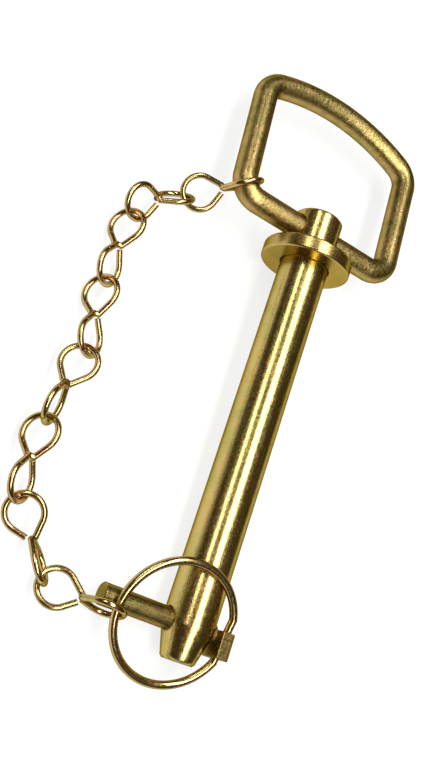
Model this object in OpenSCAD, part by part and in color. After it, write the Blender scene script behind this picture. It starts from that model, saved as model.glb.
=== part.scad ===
// Hitch pin lying on its side: a solid bar with a pressed-on collar, a bent handle that
// swings in the bar's head, a linch pin with a snap ring for the tip, and a chain of eight
// twisted wire links from the handle to the snap ring. Lengths are in millimetres, angles in
// degrees. The bar's axis leaves the middle of the collar's underside towards the tip.

/* [Bar] */
// Diameter of the bar
bar_d = 19.05; // [17:0.05:22]
// Length of the bar below the collar
shank_length = 155.2; // [152:0.1:160]
// Distance from the end of the tip to the centre of the linch pin's hole
linch_setback = 12.8; // [11.5:0.1:17]
// Length of the tapered tip
tip_length = 12.2; // [6:0.1:14]
// Diameter of the flat end of the tip
tip_end_d = 12.7; // [10:0.1:16]
// Bevel round the flat end of the tip
tip_bevel = 0.8; // [0.3:0.1:1.5]
// Length of the head that stands above the collar
head_length = 16; // [14.5:0.1:20]
// Distance from the collar's upper face to the handle's hinge line
hinge_station = 8.35; // [7.5:0.05:10]
// Bevel round the top of the head
head_bevel = 0.8; // [0.3:0.1:1.5]
// Bevel round the rims of both cross holes
hole_bevel = 0.5; // [0.2:0.1:1]

/* [Collar] */
// Diameter of the collar
collar_d = 35.4; // [30:0.1:40]
// Thickness of the collar
collar_thickness = 5.7; // [4:0.1:8]
// Rounding of the collar's two outer edges
collar_round = 0.9; // [0.4:0.1:1.8]
// Bevel round the collar's bore
collar_bore_bevel = 0.5; // [0.2:0.1:1]

/* [Handle] */
// Diameter of the handle's rod
handle_rod_d = 9.7; // [8:0.1:11]
// Distance between the two legs' centre lines, measured on the hinge line
handle_width = 72; // [68:0.5:80]
// Distance from the hinge line to the middle of the grip's centre line
handle_reach = 60.3; // [55:0.1:70]
// Angle by which each leg leans outwards
handle_flare = 1.8; // [0:0.1:4]
// Bend radius of the two corners at the hinge line
handle_lower_bend = 8; // [6.5:0.1:10]
// Bend radius of the two corners beside the grip
handle_upper_bend = 9; // [7:0.1:14]
// Radius of the grip's bow
handle_bow = 85; // [70:1:140]
// Gap between the two rod ends inside the head
handle_end_gap = 2; // [1:0.1:4]
// Radial clearance of the rod in its cross hole
handle_play = 0.08; // [0.05:0.01:0.1]
// Angle by which the handle hangs below the bar's line
handle_droop = 7; // [4:0.5:9]

/* [Linch pin] */
// Diameter of the linch pin's rod
linch_d = 7.94; // [7:0.02:9]
// Distance from the bar's axis to the free end of the linch pin
linch_reach = 35.5; // [34:0.1:40]
// Bevel of the linch pin's free end
linch_bevel = 0.4; // [0.2:0.1:1]
// Radial clearance of the linch pin in its cross hole
linch_play = 0.08; // [0.05:0.01:0.1]
// Thickness of the linch pin's head along the bar
block_width = 9.4; // [8.8:0.1:11]
// Height of the linch pin's head across the bar
block_height = 17; // [15:0.1:20]
// Depth of the head's upper end
block_depth_top = 5.6; // [5.2:0.1:7]
// Depth of the head at its fullest
block_depth = 8.4; // [7.5:0.1:10]
// Distance of the head's middle from the rod's axis, towards the tip
block_offset = 2.7; // [2:0.1:3]
// Bevel of the head's outer edges
block_bevel = 1.6; // [0.8:0.1:2.2]
// Gap between the head and the bar it seats on
block_seat_gap = 0.2; // [0.1:0.05:0.4]
// Depth to which the rod's root runs into the head
rod_root = 0.3; // [0.1:0.05:0.4]

/* [Snap ring] */
// Diameter of the snap ring's wire
ring_wire_d = 3; // [2.6:0.1:3.4]
// Diameter of the ring's centre line
ring_d = 43.8; // [42:0.1:48]
// Distance of the ring's swing line from the head's inner face
ring_pivot_depth = 2.3; // [2.2:0.1:2.8]
// Distance of the ring's middle from the head's middle, towards the collar
ring_offset = 1.5; // [0:0.1:2]
// Length of each ring end inside the head
ring_end_depth = 3; // [2:0.1:3.5]
// Gap between the ring's bends and the head's side faces
ring_bend_gap = 0.3; // [0.2:0.1:1]
// Radial clearance of the ring ends in their holes
ring_play = 0.06; // [0.05:0.01:0.1]
// Gap between the ring and what it lies on
ring_seat_gap = 0.2; // [0.15:0.05:0.4]

/* [Chain] */
// Diameter of the links' wire
link_wire_d = 2.2; // [1.8:0.1:2.6]
// Width of each loop, measured between centre lines
loop_width = 13; // [12.6:0.1:14]
// Length of a whole link, measured between centre lines
link_length = 30.4; // [28.5:0.1:32]
// Running gap where two loops hook into each other
link_gap = 0.1; // [0.05:0.05:0.2]
// Running gap between the first link and the handle's bend
handle_hook_gap = 0.2; // [0.15:0.05:0.3]
// Distance between the two wires at a link's waist
waist_spacing = 2.4; // [2.2:0.1:3]
// Distance by which each cut end stops short of the waist
cut_end_setback = 0.9; // [0.5:0.1:1.5]
// Heading of each link as seen from above, from the handle to the snap ring
link_headings = [-58, -51, -3, 4, -11, -2, 38, 83];
// Rise of each link above the level, from the handle to the snap ring
link_rises = [-31, 10, -3, 4, -2, 1, -4, 18];
// Roll of each link's first loop out of the level
link_rolls = [83, 57, 52, 55, 35, 49, 31, -7];
// Place of the first link on the handle's bend, from the hinge line towards the leg
chain_start_turn = 60; // [50:1:70]
// Place of the last link on the snap ring, from the ring's far end towards the tip
chain_end_turn = 9; // [8:1:20]

/* [Hidden] */
$fn = 48;

// Rods are joined from bends and straights. Each piece stops a hair short of the joint, and
// a thin band or, where the rod turns sharply, a ball a hair wider than the rod joins them.
seam_trim = 0.05;
seam_length = 0.6;
seam_swell = 0.03;
knee_swell = 0.03;

plated = [0.78, 0.67, 0.42];
plated_dark = [0.68, 0.58, 0.36];

// Radii of the round stock
bar_r = bar_d / 2;
collar_r = collar_d / 2;
handle_r = handle_rod_d / 2;
linch_r = linch_d / 2;
ring_wire_r = ring_wire_d / 2;
link_wire_r = link_wire_d / 2;

// Places along the bar's axis, from the collar's underside
head_top_x = -collar_thickness - head_length;
hinge_x = -collar_thickness - hinge_station;
tip_start_x = shank_length - tip_length;
linch_station = shank_length - linch_setback;

// The bar rests on the collar's rim and on the edge where its tip begins to taper
lie_angle = atan((collar_r - bar_r) / tip_start_x);

// Turns a direction or a point about the Y axis
function turn_y(p, a) = [p[0] * cos(a) + p[2] * sin(a), p[1], p[2] * cos(a) - p[0] * sin(a)];
function laid(p) = turn_y(p, lie_angle);
function total(v, i = 0) = i < len(v) ? v[i] + total(v, i + 1) : 0;

// Handle outline in its own plane: first axis from the hinge line to the grip, second along
// the hinge line. Each corner's centre lies where its bend meets both neighbours smoothly.
handle_half = handle_width / 2;
lower_u = handle_lower_bend;
lower_v = handle_half + handle_lower_bend * tan(handle_flare)
    - handle_lower_bend / cos(handle_flare);
bow_u = handle_reach - handle_bow;
upper_lean = tan(handle_flare);
upper_start_v = handle_half - handle_upper_bend / cos(handle_flare);
quad_a = 1 + upper_lean * upper_lean;
quad_b = upper_start_v * upper_lean - bow_u;
quad_c = upper_start_v * upper_start_v + bow_u * bow_u
    - (handle_bow - handle_upper_bend) * (handle_bow - handle_upper_bend);
upper_u = (-quad_b + sqrt(quad_b * quad_b - quad_a * quad_c)) / quad_a;
upper_v = upper_start_v + upper_lean * upper_u;
bow_turn = atan2(upper_v, upper_u - bow_u);
leg_length = norm([upper_u - lower_u
    - (handle_upper_bend - handle_lower_bend) * sin(handle_flare),
    upper_v - lower_v + (handle_upper_bend - handle_lower_bend) * cos(handle_flare)]);

// Linch pin head and snap ring, along the bar's axis and across it
block_inner_y = bar_r + block_seat_gap;
block_x = linch_station + block_offset;
ring_r = ring_d / 2;
ring_pivot_y = block_inner_y + ring_pivot_depth;
ring_x = block_x - ring_offset;
ring_bend_x = block_width / 2 + ring_offset + ring_wire_r + ring_bend_gap;
ring_end_turn = asin(ring_bend_x / ring_r);
ring_y = ring_pivot_y - ring_r * cos(ring_end_turn);

// The ring lies on the top of the bar on one side and just over the linch pin's rod
ring_lean = sqrt(ring_r * ring_r - ring_y * ring_y) - (ring_x - linch_station);
ring_over_bar = bar_r + ring_wire_r + ring_seat_gap;
ring_over_rod = (linch_r + ring_wire_r + ring_seat_gap)
    / cos(asin((bar_r - linch_r) / ring_lean));
ring_tilt = asin((ring_over_bar - ring_over_rod) / ring_lean);
ring_z = ring_over_rod - (ring_x - linch_station) * tan(ring_tilt);

// Wire link: each loop is an arc and two straight legs that meet at the waist
loop_r = loop_width / 2;
link_half = link_length / 2;
loop_centre = link_half - loop_r;
waist_half = waist_spacing / 2;
leg_turn = atan2(waist_half, loop_centre)
    + acos(loop_r / norm([loop_centre, waist_half]));
link_leg = sqrt(loop_centre * loop_centre + waist_half * waist_half - loop_r * loop_r);

// Where the chain starts on the handle's bend and ends on the snap ring
start_u = lower_u - handle_lower_bend * cos(chain_start_turn);
start_v = lower_v + handle_lower_bend * sin(chain_start_turn);
chain_start = laid([hinge_x, 0, 0] + turn_y([-start_u, -start_v, 0], -handle_droop));
chain_end = laid([ring_x, ring_y, ring_z]
    + turn_y([ring_r * sin(chain_end_turn), -ring_r * cos(chain_end_turn), 0], ring_tilt));
first_offset = handle_r + link_wire_r + handle_hook_gap;
link_offset = link_wire_d + link_gap;
last_offset = ring_wire_r + link_wire_r + link_gap;

last_link = len(link_headings) - 1;

// Directions of one link, for its heading, its rise and its roll
function along(h, e) = [cos(h) * cos(e), sin(h) * cos(e), sin(e)];
function level(h) = [-sin(h), cos(h), 0];
function loop_a_side(h, e, r) = cos(r) * level(h) + sin(r) * cross(along(h, e), level(h));
function loop_b_side(h, e, r) = cross(along(h, e), loop_a_side(h, e, r));

// Unit vector of the part of d that lies in the plane of a link's second loop
function pull(d, a, s) = let (q = (d * a) * a + (d * s) * s) q / norm(q);

// Waist of each link for a bend scale c, with the first link's start at the origin
function heading_at(c, k) = c * (link_headings[k] - mean_heading);
mean_heading = total(link_headings) / len(link_headings);
function first_waist(c) = (link_half - first_offset) * along(heading_at(c, 0), link_rises[0]);
function next_waist(c, k, w) = let (
        h = heading_at(c, k - 1),
        e = link_rises[k - 1],
        a = along(h, e),
        d = along(heading_at(c, k), link_rises[k]),
        s = loop_b_side(h, e, link_rolls[k - 1]))
    w + loop_centre * a + loop_r * pull(d, a, s) + (link_half - link_offset) * d;
function waist(c, k) = k == 0 ? first_waist(c) : next_waist(c, k, waist(c, k - 1));
function chain_reach(c) = waist(c, last_link)
    + (link_half - last_offset) * along(heading_at(c, last_link), link_rises[last_link]);

// The bend scale with which the chain just reaches from the handle to the snap ring
chain_span = chain_end - chain_start;
function bend_scale(lo, hi, n) = n == 0 ? (lo + hi) / 2
    : norm(chain_reach((lo + hi) / 2)) > norm(chain_span) ? bend_scale((lo + hi) / 2, hi, n - 1)
    : bend_scale(lo, (lo + hi) / 2, n - 1);
max_bend_scale = 3;
bend_steps = 24;
lay_bend = bend_scale(0, max_bend_scale, bend_steps);
lay_reach = chain_reach(lay_bend);
function heading_of(v) = atan2(v[1], v[0]);
function rise_of(v) = atan2(v[2], norm([v[0], v[1]]));

module along_x(x) {
    translate([x, 0, 0])
    rotate([0, 90, 0])
    children();
}

module across_hole(x, r) {
    translate([x, 0, 0])
    rotate([90, 0, 0])
    cylinder(r = r, h = 2 * bar_d, center = true);
    for (side = [-1, 1])
        translate([x, side * bar_r, 0])
        rotate([-90 * side, 0, 0])
        translate([0, 0, -hole_bevel])
        cylinder(r1 = r, r2 = r + 2 * hole_bevel, h = 2 * hole_bevel);
}

module pin_bar() {
    color(plated)
    rotate([0, lie_angle, 0])
    difference() {
        rotate([0, 90, 0])
        rotate_extrude()
        polygon([
            [0, head_top_x],
            [bar_r - head_bevel, head_top_x],
            [bar_r, head_top_x + head_bevel],
            [bar_r, tip_start_x],
            [tip_end_d / 2, shank_length - tip_bevel],
            [tip_end_d / 2 - tip_bevel, shank_length],
            [0, shank_length]
        ]);
        across_hole(hinge_x, handle_r + handle_play);
        across_hole(linch_station, linch_r + linch_play);
    }
}

module collar_corner(z) {
    translate([collar_r - collar_round, z])
    circle(r = collar_round);
}

module collar() {
    color(plated)
    rotate([0, lie_angle, 0])
    along_x(-collar_thickness)
    rotate_extrude()
    union() {
        polygon([
            [bar_r + collar_bore_bevel, 0],
            [collar_r - collar_round, 0],
            [collar_r - collar_round, collar_thickness],
            [bar_r + collar_bore_bevel, collar_thickness],
            [bar_r, collar_thickness - collar_bore_bevel],
            [bar_r, collar_bore_bevel]
        ]);
        translate([collar_r - collar_round, collar_round])
        square([collar_round, collar_thickness - 2 * collar_round]);
        collar_corner(collar_round);
        collar_corner(collar_thickness - collar_round);
    }
}

// Piece of round rod bent in the XY plane, a hair short at both ends
module bend(bend_r, wire_r, from, turn) {
    trim = asin(seam_trim / bend_r);
    rotate([0, 0, from + trim])
    rotate_extrude(angle = turn - 2 * trim)
    translate([bend_r, 0])
    circle(r = wire_r);
}

// Thin band that joins two pieces of rod, across the end of a bend
module seam(bend_r, wire_r, at) {
    rotate([0, 0, at])
    translate([bend_r, 0, 0])
    rotate([90, 0, 0])
    cylinder(r = wire_r + seam_swell, h = seam_length, center = true);
}

// Straight piece of round rod up the Z axis
module straight(wire_r, from, to) {
    translate([0, 0, from])
    cylinder(r = wire_r, h = to - from);
}

module handle_side() {
    rotate([-90, 0, 0])
    straight(handle_r, handle_end_gap / 2, lower_v - seam_trim);
    translate([lower_u, lower_v, 0]) {
        seam(handle_lower_bend, handle_r, 180);
        bend(handle_lower_bend, handle_r, 90 + handle_flare, 90 - handle_flare);
        seam(handle_lower_bend, handle_r, 90 + handle_flare);
        rotate([0, 0, handle_flare])
        translate([0, handle_lower_bend, 0])
        rotate([0, 90, 0])
        straight(handle_r, seam_trim, leg_length - seam_trim);
    }
    translate([upper_u, upper_v, 0]) {
        seam(handle_upper_bend, handle_r, 90 + handle_flare);
        bend(handle_upper_bend, handle_r, bow_turn, 90 + handle_flare - bow_turn);
        seam(handle_upper_bend, handle_r, bow_turn);
    }
}

module handle() {
    color(plated_dark)
    rotate([0, lie_angle, 0])
    translate([hinge_x, 0, 0])
    rotate([0, handle_droop, 180])
    union() {
        handle_side();
        mirror([0, 1, 0])
        handle_side();
        translate([bow_u, 0, 0])
        bend(handle_bow, handle_r, -bow_turn, 2 * bow_turn);
    }
}

// The forged head of the linch pin: side outline cut by its bevelled plan
module linch_head() {
    intersection() {
        translate([block_x - block_width / 2, 0, 0])
        rotate([90, 0, 90])
        linear_extrude(height = block_width)
        polygon([
            [block_inner_y, -block_height / 2],
            [block_inner_y + block_depth_top, -block_height / 2],
            [block_inner_y + block_depth, -block_height / 4],
            [block_inner_y + block_depth, 0],
            [block_inner_y + block_depth_top, block_height / 2 - block_bevel],
            [block_inner_y + block_depth_top - block_bevel, block_height / 2],
            [block_inner_y, block_height / 2]
        ]);
        translate([block_x, 0, 0])
        linear_extrude(height = block_height, center = true)
        polygon([
            [-block_width / 2, block_inner_y],
            [block_width / 2, block_inner_y],
            [block_width / 2, block_inner_y + block_depth - block_bevel],
            [block_width / 2 - block_bevel, block_inner_y + block_depth],
            [-block_width / 2 + block_bevel, block_inner_y + block_depth],
            [-block_width / 2, block_inner_y + block_depth - block_bevel]
        ]);
    }
}

module at_ring() {
    translate([ring_x, ring_y, ring_z])
    rotate([0, ring_tilt, 0])
    children();
}

// Straight end of the ring, from its bend into the head
module ring_end(side, wire_r, depth) {
    reach = ring_bend_x - side * ring_offset - block_width / 2;
    translate([side * ring_bend_x, ring_pivot_y - ring_y, 0])
    rotate([0, -90 * side, 0])
    straight(wire_r, seam_trim, reach + depth);
}

module linchpin() {
    color(plated)
    rotate([0, lie_angle, 0])
    difference() {
        union() {
            linch_head();
            translate([linch_station, -linch_reach, 0])
            rotate([-90, 0, 0])
            rotate_extrude()
            polygon([
                [0, 0],
                [linch_r - linch_bevel, 0],
                [linch_r, linch_bevel],
                [linch_r, linch_reach + block_inner_y + rod_root],
                [0, linch_reach + block_inner_y + rod_root]
            ]);
        }
        at_ring()
        for (side = [-1, 1])
            ring_end(side, ring_wire_r + ring_play, ring_end_depth + ring_seat_gap);
    }
}

module snap_ring() {
    color(plated)
    rotate([0, lie_angle, 0])
    at_ring()
    union() {
        bend(ring_r, ring_wire_r, 90 + ring_end_turn, 360 - 2 * ring_end_turn);
        for (side = [-1, 1]) {
            ring_end(side, ring_wire_r, ring_end_depth);
            translate([side * ring_bend_x, ring_pivot_y - ring_y, 0])
            sphere(r = ring_wire_r + knee_swell);
        }
    }
}

// One loop of a link, pointing away from the waist along -X; the lower leg is the cut one
module link_loop() {
    translate([-loop_centre, 0, 0]) {
        bend(loop_r, link_wire_r, leg_turn, 360 - 2 * leg_turn);
        for (side = [-1, 1])
            seam(loop_r, link_wire_r, side * leg_turn);
        rotate([0, 0, leg_turn])
        translate([loop_r, 0, 0])
        rotate([90, 0, 0])
        straight(link_wire_r, seam_trim, link_leg - seam_trim);
        rotate([0, 0, -leg_turn])
        translate([loop_r, 0, 0])
        rotate([-90, 0, 0])
        straight(link_wire_r, seam_trim, link_leg - cut_end_setback);
    }
}

module chain_link() {
    link_loop();
    rotate([90, 0, 180])
    link_loop();
    translate([0, waist_half, 0])
    sphere(r = link_wire_r + knee_swell);
    translate([0, 0, waist_half])
    sphere(r = link_wire_r + knee_swell);
    translate([0, waist_half, 0])
    rotate([45, 0, 0])
    straight(link_wire_r, seam_trim, waist_half * sqrt(2) - seam_trim);
}

module placed_link(k) {
    color(plated)
    translate(chain_start)
    rotate([0, -rise_of(chain_span), heading_of(chain_span)])
    rotate([0, rise_of(lay_reach), 0])
    rotate([0, 0, -heading_of(lay_reach)])
    translate(waist(lay_bend, k))
    rotate([0, -link_rises[k], heading_at(lay_bend, k)])
    rotate([link_rolls[k], 0, 0])
    chain_link();
}

module link_1() { placed_link(0); }
module link_2() { placed_link(1); }
module link_3() { placed_link(2); }
module link_4() { placed_link(3); }
module link_5() { placed_link(4); }
module link_6() { placed_link(5); }
module link_7() { placed_link(6); }
module link_8() { placed_link(7); }

pin_bar();
collar();
handle();
linchpin();
snap_ring();
link_1();
link_2();
link_3();
link_4();
link_5();
link_6();
link_7();
link_8();
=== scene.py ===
"""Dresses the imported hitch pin: plated bar and collar, swinging handle, linch pin and chain."""

import logging
import math
from dataclasses import dataclass
from enum import Enum

import bpy
from mathutils import Matrix, Vector

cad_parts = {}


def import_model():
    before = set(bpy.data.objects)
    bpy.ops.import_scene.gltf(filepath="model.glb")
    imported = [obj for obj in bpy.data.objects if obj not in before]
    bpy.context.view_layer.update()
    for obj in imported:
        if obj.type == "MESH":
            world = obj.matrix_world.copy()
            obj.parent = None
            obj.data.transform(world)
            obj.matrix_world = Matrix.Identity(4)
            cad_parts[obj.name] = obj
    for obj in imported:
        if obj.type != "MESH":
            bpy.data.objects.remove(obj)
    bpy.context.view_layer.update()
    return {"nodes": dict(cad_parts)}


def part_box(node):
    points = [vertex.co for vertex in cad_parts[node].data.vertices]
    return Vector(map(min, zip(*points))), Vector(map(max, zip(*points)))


LOG = logging.getLogger("hitch_pin")

Rgb = tuple[float, float, float]
Point = tuple[float, float, float]

MM = 0.001
LIE_ANGLE = math.radians(3.27)

# Sockets of Blender's Mix node when it mixes colours.
MIX_SHARE, MIX_FIRST, MIX_SECOND, MIX_COLOUR = 0, 6, 7, 2

# How the plating's noises relate to each other and how far each may tint it.
DRIFT_PER_PATCH = 3.1
FLECK_PER_GRAIN = 2.5
DRAWN_OUT = 0.03
COOL_AT_MOST = 0.85
WARM_AT_MOST = 0.8
FLECKS_IN_DULLNESS = 0.6
BEVEL_SAMPLES = 6


class Marks(Enum):
    """How the steel under the plating was worked."""

    GRAINED = "grained"
    TURNED = "turned"
    DRAWN_ALONG_BAR = "drawn along the bar"
    DRAWN_ACROSS_BAR = "drawn across the bar"


class NodeSheet:
    """Adds shader nodes to a tree and links them in one call each."""

    def __init__(self, tree: bpy.types.NodeTree) -> None:
        """Starts on an emptied tree.

        Args:
            tree: The node tree of a material or world.
        """
        tree.nodes.clear()
        self.tree = tree

    def add(self, kind: str, inputs: dict | None = None, **settings: object) -> bpy.types.Node:
        """Adds one node.

        Args:
            kind: Blender's name for the type of node.
            inputs: Socket name or index to a value, or to the socket that feeds it.
            **settings: Attributes of the node itself.

        Returns:
            The new node.
        """
        node = self.tree.nodes.new(kind)
        for name, value in settings.items():
            setattr(node, name, value)
        for name, value in (inputs or {}).items():
            if isinstance(value, bpy.types.NodeSocket):
                self.tree.links.new(value, node.inputs[name])
            else:
                node.inputs[name].default_value = value
        return node

    def math(self, operation: str, *values: object) -> bpy.types.NodeSocket:
        """Adds a Math node and gives its result.

        Args:
            operation: Name of the operation.
            *values: Numbers or sockets, in order.

        Returns:
            The socket with the result.
        """
        inputs = dict(enumerate(values))
        return self.add("ShaderNodeMath", inputs, operation=operation).outputs[0]

    def spread(self, value: bpy.types.NodeSocket, low: float, high: float,
               to_low: float, to_high: float) -> bpy.types.NodeSocket:
        """Stretches a value from one range to another, with soft ends.

        Args:
            value: The socket to stretch.
            low: Value that becomes to_low.
            high: Value that becomes to_high.
            to_low: Result at and below low.
            to_high: Result at and above high.

        Returns:
            The socket with the result.
        """
        node = self.add(
            "ShaderNodeMapRange",
            {
                "Value": value,
                "From Min": low,
                "From Max": high,
                "To Min": to_low,
                "To Max": to_high,
            },
            interpolation_type="SMOOTHSTEP",
        )
        return node.outputs["Result"]

    def noise(self, place: bpy.types.NodeSocket, size: float, detail: float,
              roughness: float = 0.5) -> bpy.types.NodeSocket:
        """Adds a noise whose features are about one size.

        Args:
            place: Coordinates in metres.
            size: Size of a feature in metres.
            detail: Number of finer layers.
            roughness: Strength of the finer layers.

        Returns:
            The noise's value socket.
        """
        node = self.add(
            "ShaderNodeTexNoise",
            {"Vector": place, "Scale": 1.0 / size, "Detail": detail, "Roughness": roughness},
        )
        return node.outputs["Fac"]

    def blend(self, share: bpy.types.NodeSocket, first: object, second: object,
              kind: str = "MIX") -> bpy.types.NodeSocket:
        """Mixes two colours.

        Args:
            share: How much of the second colour shows.
            first: Colour or socket.
            second: Colour or socket.
            kind: Name of the way of mixing.

        Returns:
            The mixed colour's socket.
        """
        node = self.add("ShaderNodeMix", data_type="RGBA", blend_type=kind)
        for place, value in ((MIX_SHARE, share), (MIX_FIRST, first), (MIX_SECOND, second)):
            socket = node.inputs[place]
            if isinstance(value, bpy.types.NodeSocket):
                self.tree.links.new(value, socket)
            else:
                socket.default_value = (*value, 1.0) if isinstance(value, tuple) else value
        return node.outputs[MIX_COLOUR]

    def background_rays(self) -> bpy.types.NodeSocket:
        """Tells the rays that see the background, straight or in metal or glass.

        Returns:
            A socket that is 1 for camera, glossy and transmission rays.
        """
        rays = self.add("ShaderNodeLightPath").outputs
        bounced = self.math("MAXIMUM", rays["Is Glossy Ray"], rays["Is Transmission Ray"])
        return self.math("MAXIMUM", rays["Is Camera Ray"], bounced)


@dataclass(frozen=True)
class Plating:
    """Yellow zinc plating on steel, with the marks of how the piece was worked.

    Sizes are in metres. The cool and warm tints drift over the surface as chromate films do.
    """

    name: str
    tone: Rgb
    cool_tint: Rgb
    warm_tint: Rgb
    stain: Rgb
    roughness: float
    rougher: float
    patch_size: float
    grain_size: float
    grain_depth: float
    marks: Marks
    mark_size: float
    mark_depth: float
    stain_share: float
    edge_radius: float
    edge_tint: Rgb

    def marked(self, sheet: NodeSheet, place: bpy.types.NodeSocket) -> bpy.types.NodeSocket:
        """Makes the height of the tool or die marks.

        Args:
            sheet: Where the nodes go.
            place: Coordinates in metres.

        Returns:
            A socket from 0 to 1.
        """
        along = sheet.add(
            "ShaderNodeMapping",
            {"Vector": place, "Rotation": (0.0, LIE_ANGLE, 0.0)},
            vector_type="TEXTURE",
        ).outputs[0]
        stretches = {
            Marks.GRAINED: (1.0, 1.0, 1.0),
            Marks.DRAWN_ALONG_BAR: (DRAWN_OUT, 1.0, 1.0),
            Marks.DRAWN_ACROSS_BAR: (1.0, DRAWN_OUT, 1.0),
        }
        if self.marks is Marks.TURNED:
            parts = sheet.add("ShaderNodeSeparateXYZ", {0: along}).outputs
            across = sheet.math("POWER", parts[1], 2.0)
            upward = sheet.math("POWER", parts[2], 2.0)
            radius = sheet.math("SQRT", sheet.math("ADD", across, upward))
            lathe = sheet.add("ShaderNodeCombineXYZ", {0: parts[0], 1: radius}).outputs[0]
            return sheet.noise(lathe, self.mark_size, 2.0, 0.6)
        drawn = sheet.add(
            "ShaderNodeMapping", {"Vector": along, "Scale": stretches[self.marks]}
        ).outputs[0]
        return sheet.noise(drawn, self.mark_size, 3.0, 0.6)

    def make(self) -> bpy.types.Material:
        """Builds the material.

        Returns:
            The new material.
        """
        material = bpy.data.materials.new(self.name)
        material.use_nodes = True
        sheet = NodeSheet(material.node_tree)
        place = sheet.add("ShaderNodeTexCoord").outputs["Object"]

        patches = sheet.noise(place, self.patch_size, 3.0, 0.55)
        drift = sheet.noise(place, self.patch_size * DRIFT_PER_PATCH, 1.0)
        flecks = sheet.noise(place, self.grain_size * FLECK_PER_GRAIN, 4.0, 0.65)
        marks = self.marked(sheet, place)

        cool_share = sheet.spread(drift, 0.42, 0.62, 0.0, COOL_AT_MOST)
        warm_share = sheet.spread(patches, 0.5, 0.68, 0.0, WARM_AT_MOST)
        colour = sheet.blend(cool_share, self.tone, self.cool_tint)
        colour = sheet.blend(warm_share, colour, self.warm_tint)
        stained_areas = sheet.spread(patches, 0.56, 0.3, 0.0, 1.0)
        stained_flecks = sheet.spread(flecks, 0.34, 0.68, 0.0, 1.0)
        stains = sheet.math("MULTIPLY", stained_areas, stained_flecks)
        colour = sheet.blend(sheet.math("MULTIPLY", stains, self.stain_share), colour, self.stain)

        dull = sheet.math(
            "ADD",
            sheet.math("MULTIPLY", flecks, FLECKS_IN_DULLNESS),
            sheet.math("MULTIPLY", marks, 1.0 - FLECKS_IN_DULLNESS),
        )
        rough = sheet.spread(dull, 0.35, 0.65, self.roughness, self.rougher)

        rounded = sheet.add(
            "ShaderNodeBevel", {"Radius": self.edge_radius}, samples=BEVEL_SAMPLES
        ).outputs[0]
        grain = sheet.noise(place, self.grain_size, 3.0, 0.6)
        grained = sheet.add(
            "ShaderNodeBump",
            {"Height": grain, "Distance": self.grain_depth, "Strength": 1.0, "Normal": rounded},
        ).outputs[0]
        worked = sheet.add(
            "ShaderNodeBump",
            {"Height": marks, "Distance": self.mark_depth, "Strength": 1.0, "Normal": grained},
        ).outputs[0]

        shader = sheet.add(
            "ShaderNodeBsdfPrincipled",
            {
                "Base Color": colour,
                "Metallic": 1.0,
                "Roughness": rough,
                "Normal": worked,
                "Specular Tint": (*self.edge_tint, 1.0),
            },
        )
        sheet.add("ShaderNodeOutputMaterial", {"Surface": shader.outputs[0]})
        return material


BRIGHT_BAR = Plating(
    name="bright_bar_plating",
    tone=(0.58, 0.44, 0.15),
    cool_tint=(0.49, 0.42, 0.135),
    warm_tint=(0.62, 0.41, 0.16),
    stain=(0.26, 0.17, 0.04),
    roughness=0.17,
    rougher=0.30,
    patch_size=7.0 * MM,
    grain_size=0.45 * MM,
    grain_depth=0.016 * MM,
    marks=Marks.DRAWN_ALONG_BAR,
    mark_size=0.8 * MM,
    mark_depth=0.010 * MM,
    stain_share=0.35,
    edge_radius=1.2 * MM,
    edge_tint=(0.26, 0.20, 0.09),
)

TURNED_COLLAR = Plating(
    name="turned_collar_plating",
    tone=(0.52, 0.375, 0.13),
    cool_tint=(0.44, 0.35, 0.115),
    warm_tint=(0.56, 0.36, 0.14),
    stain=(0.22, 0.14, 0.04),
    roughness=0.20,
    rougher=0.34,
    patch_size=6.0 * MM,
    grain_size=0.4 * MM,
    grain_depth=0.010 * MM,
    marks=Marks.TURNED,
    mark_size=0.35 * MM,
    mark_depth=0.014 * MM,
    stain_share=0.25,
    edge_radius=0.5 * MM,
    edge_tint=(0.32, 0.24, 0.11),
)

ROUGH_HANDLE = Plating(
    name="rough_handle_plating",
    tone=(0.44, 0.32, 0.11),
    cool_tint=(0.37, 0.305, 0.10),
    warm_tint=(0.50, 0.325, 0.135),
    stain=(0.15, 0.10, 0.03),
    roughness=0.26,
    rougher=0.44,
    patch_size=5.0 * MM,
    grain_size=0.55 * MM,
    grain_depth=0.075 * MM,
    marks=Marks.GRAINED,
    mark_size=1.3 * MM,
    mark_depth=0.10 * MM,
    stain_share=0.6,
    edge_radius=0.6 * MM,
    edge_tint=(0.22, 0.165, 0.075),
)

DULL_ROD = Plating(
    name="dull_rod_plating",
    tone=(0.36, 0.26, 0.09),
    cool_tint=(0.30, 0.25, 0.08),
    warm_tint=(0.42, 0.265, 0.10),
    stain=(0.14, 0.09, 0.03),
    roughness=0.24,
    rougher=0.42,
    patch_size=4.0 * MM,
    grain_size=0.5 * MM,
    grain_depth=0.020 * MM,
    marks=Marks.DRAWN_ACROSS_BAR,
    mark_size=0.5 * MM,
    mark_depth=0.03 * MM,
    stain_share=0.5,
    edge_radius=0.5 * MM,
    edge_tint=(0.28, 0.21, 0.10),
)

BRIGHT_WIRE = Plating(
    name="bright_wire_plating",
    tone=(0.56, 0.40, 0.17),
    cool_tint=(0.46, 0.385, 0.145),
    warm_tint=(0.64, 0.39, 0.21),
    stain=(0.20, 0.12, 0.04),
    roughness=0.14,
    rougher=0.26,
    patch_size=5.0 * MM,
    grain_size=0.4 * MM,
    grain_depth=0.008 * MM,
    marks=Marks.GRAINED,
    mark_size=1.6 * MM,
    mark_depth=0.010 * MM,
    stain_share=0.4,
    edge_radius=0.3 * MM,
    edge_tint=(0.30, 0.22, 0.11),
)


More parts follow.
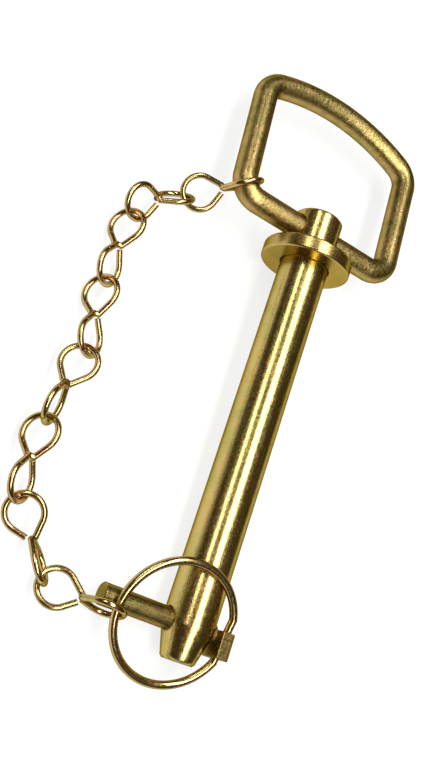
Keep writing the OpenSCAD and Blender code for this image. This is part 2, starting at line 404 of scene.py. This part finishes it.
@dataclass
class DressedPart:
    """A group of carried-over solids that share a finish."""

    nodes: dict[str, bpy.types.Object]
    names: tuple[str, ...]
    finish: Plating

    def dress(self) -> None:
        """Gives every solid of the group its finish."""
        material = self.finish.make()
        for name in self.names:
            solid = self.nodes[name]
            for slot in solid.material_slots:
                slot.material = material
            LOG.info("%s wears %s", name, material.name)


@dataclass(frozen=True)
class Softbox:
    """One long rectangular lamp that hangs over the bar and faces it.

    Lean is from overhead towards the chain's side. Sizes are in metres, power in watts.
    """

    name: str
    lean_deg: float
    start: float
    end: float
    width: float
    power: float

    def hang(self, reach: float) -> bpy.types.Object:
        """Hangs the lamp.

        Args:
            reach: Distance from the bar, in metres.

        Returns:
            The lamp.
        """
        lean = math.radians(self.lean_deg)
        lamp = bpy.data.lights.new(self.name, "AREA")
        lamp.shape = "RECTANGLE"
        lamp.size, lamp.size_y = self.end - self.start, self.width
        lamp.energy = self.power
        box = bpy.data.objects.new(self.name, lamp)
        middle = (self.start + self.end) / 2
        box.location = (middle, -reach * math.sin(lean), reach * math.cos(lean))
        box.rotation_euler = (-lean, 0.0, 0.0)
        box.visible_camera = False
        bpy.context.scene.collection.objects.link(box)
        return box


SOFTBOXES = (
    Softbox("near_softbox", lean_deg=37.0, start=-0.75, end=0.10, width=0.34, power=10.0),
    Softbox("top_softbox", lean_deg=-4.0, start=-0.75, end=0.95, width=0.30, power=15.5),
)


@dataclass
class Studio:
    """Pale floor, soft lamps, the dark room that the metal reflects, and the camera."""

    floor_z: float
    camera_place: Point = (180.2 * MM, -175.8 * MM, 298.7 * MM)
    camera_forward: Point = (-0.3442, 0.4234, -0.8380)
    camera_up: Point = (-0.8959, -0.4150, 0.1583)
    lens: float = 47.07
    shift_x: float = 0.0073
    shift_y: float = -0.0087
    floor_half: float = 3.0
    room_radius: float = 1.6
    floor_glow: float = 0.78
    fill_strength: float = 0.55
    lamp_reach: float = 1.0
    room_rings: int = 10
    room_spokes: int = 40
    room_foot_deg: float = 2.0
    room_tone: Rgb = (0.066, 0.045, 0.021)

    def floor(self) -> bpy.types.Object:
        """Lays the pale floor.

        Returns:
            The floor.
        """
        half = self.floor_half
        mesh = bpy.data.meshes.new("floor")
        corners = [
            (-half, -half, 0.0), (half, -half, 0.0), (half, half, 0.0), (-half, half, 0.0),
        ]
        mesh.from_pydata(corners, [], [(0, 1, 2, 3)])
        floor = bpy.data.objects.new("floor", mesh)
        floor.location = (0.0, 0.0, self.floor_z)
        material = bpy.data.materials.new("pale_floor")
        material.use_nodes = True
        sheet = NodeSheet(material.node_tree)
        seen = sheet.background_rays()
        matte = sheet.add("ShaderNodeBsdfDiffuse", {"Color": (0.9, 0.9, 0.89, 1.0)})
        glow = sheet.add("ShaderNodeEmission", {"Color": (1.0, 1.0, 0.99, 1.0), "Strength": 1.0})
        share = sheet.math("MULTIPLY", seen, self.floor_glow)
        mixed = sheet.add(
            "ShaderNodeMixShader", {0: share, 1: matte.outputs[0], 2: glow.outputs[0]}
        )
        sheet.add("ShaderNodeOutputMaterial", {"Surface": mixed.outputs[0]})
        mesh.materials.append(material)
        bpy.context.scene.collection.objects.link(floor)
        return floor

    def room(self) -> bpy.types.Object:
        """Hangs the dark room above the floor, which only shows as a reflection in the metal.

        Returns:
            The dome that stands for the room.
        """
        rings, spokes = self.room_rings, self.room_spokes
        foot = self.room_foot_deg
        points: list[Point] = []
        for ring in range(rings):
            rise = math.radians(foot + (90.0 - foot) * ring / (rings - 1))
            for spoke in range(spokes):
                turn = math.tau * spoke / spokes
                points.append((
                    self.room_radius * math.cos(rise) * math.cos(turn),
                    self.room_radius * math.cos(rise) * math.sin(turn),
                    self.room_radius * math.sin(rise),
                ))
        faces = [
            (ring * spokes + spoke, ring * spokes + (spoke + 1) % spokes,
             (ring + 1) * spokes + (spoke + 1) % spokes, (ring + 1) * spokes + spoke)
            for ring in range(rings - 1) for spoke in range(spokes)
        ]
        mesh = bpy.data.meshes.new("dark_room")
        mesh.from_pydata(points, [], faces)
        room = bpy.data.objects.new("dark_room", mesh)
        room.location = (0.05, 0.0, self.floor_z)
        material = bpy.data.materials.new("dark_room")
        material.use_nodes = True
        sheet = NodeSheet(material.node_tree)
        glow = sheet.add("ShaderNodeEmission", {"Color": (*self.room_tone, 1.0), "Strength": 1.0})
        sheet.add("ShaderNodeOutputMaterial", {"Surface": glow.outputs[0]})
        mesh.materials.append(material)
        bpy.context.scene.collection.objects.link(room)
        room.visible_camera = False
        room.visible_diffuse = False
        room.visible_shadow = False
        return room

    def lamps(self) -> None:
        """Hangs the long lamp behind the camera and the one overhead."""
        for softbox in SOFTBOXES:
            softbox.hang(self.lamp_reach)

    def world(self) -> None:
        """Fills the surroundings with plain pale light."""
        world = bpy.data.worlds.new("pale_surroundings")
        bpy.context.scene.world = world
        world.use_nodes = True
        sheet = NodeSheet(world.node_tree)
        seen = sheet.background_rays()
        fill = sheet.add(
            "ShaderNodeBackground",
            {"Color": (0.9, 0.92, 0.95, 1.0), "Strength": self.fill_strength},
        )
        pale = sheet.add("ShaderNodeBackground", {"Color": (1.0, 1.0, 1.0, 1.0), "Strength": 1.0})
        mixed = sheet.add("ShaderNodeMixShader", {0: seen, 1: fill.outputs[0], 2: pale.outputs[0]})
        sheet.add("ShaderNodeOutputWorld", {"Surface": mixed.outputs[0]})

    def camera(self) -> None:
        """Puts the camera where it looks down on the lying pin."""
        data = bpy.data.cameras.new("camera")
        data.sensor_fit = "AUTO"
        data.sensor_width = 36.0
        data.lens = self.lens
        data.shift_x = self.shift_x
        data.shift_y = self.shift_y
        data.clip_start = 0.01
        camera = bpy.data.objects.new("camera", data)
        back = -Vector(self.camera_forward).normalized()
        up = Vector(self.camera_up)
        right = up.cross(back).normalized()
        up = back.cross(right).normalized()
        turn = Matrix((right, up, back)).transposed().to_4x4()
        camera.matrix_world = Matrix.Translation(Vector(self.camera_place)) @ turn
        bpy.context.scene.collection.objects.link(camera)
        bpy.context.scene.camera = camera

    def build(self) -> None:
        """Sets up the whole studio."""
        self.camera()
        self.floor()
        self.room()
        self.lamps()
        self.world()
        view = bpy.context.scene.view_settings
        view.view_transform = "Standard"
        LOG.info("studio stands, floor at %.2f mm", self.floor_z / MM)


def main() -> None:
    """Loads the frame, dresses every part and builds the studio."""
    logging.basicConfig(level=logging.INFO, format="%(message)s")
    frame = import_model()
    nodes = frame["nodes"]

    DressedPart(nodes, ("pin_bar",), BRIGHT_BAR).dress()
    DressedPart(nodes, ("collar",), TURNED_COLLAR).dress()
    DressedPart(nodes, ("handle",), ROUGH_HANDLE).dress()
    DressedPart(nodes, ("linchpin",), DULL_ROD).dress()
    links = tuple(f"link_{count}" for count in range(1, 9))
    DressedPart(nodes, ("snap_ring", *links), BRIGHT_WIRE).dress()

    lowest = min(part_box(name)[0].z for name in nodes)
    Studio(floor_z=lowest).build()


if __name__ == "__main__":
    main()
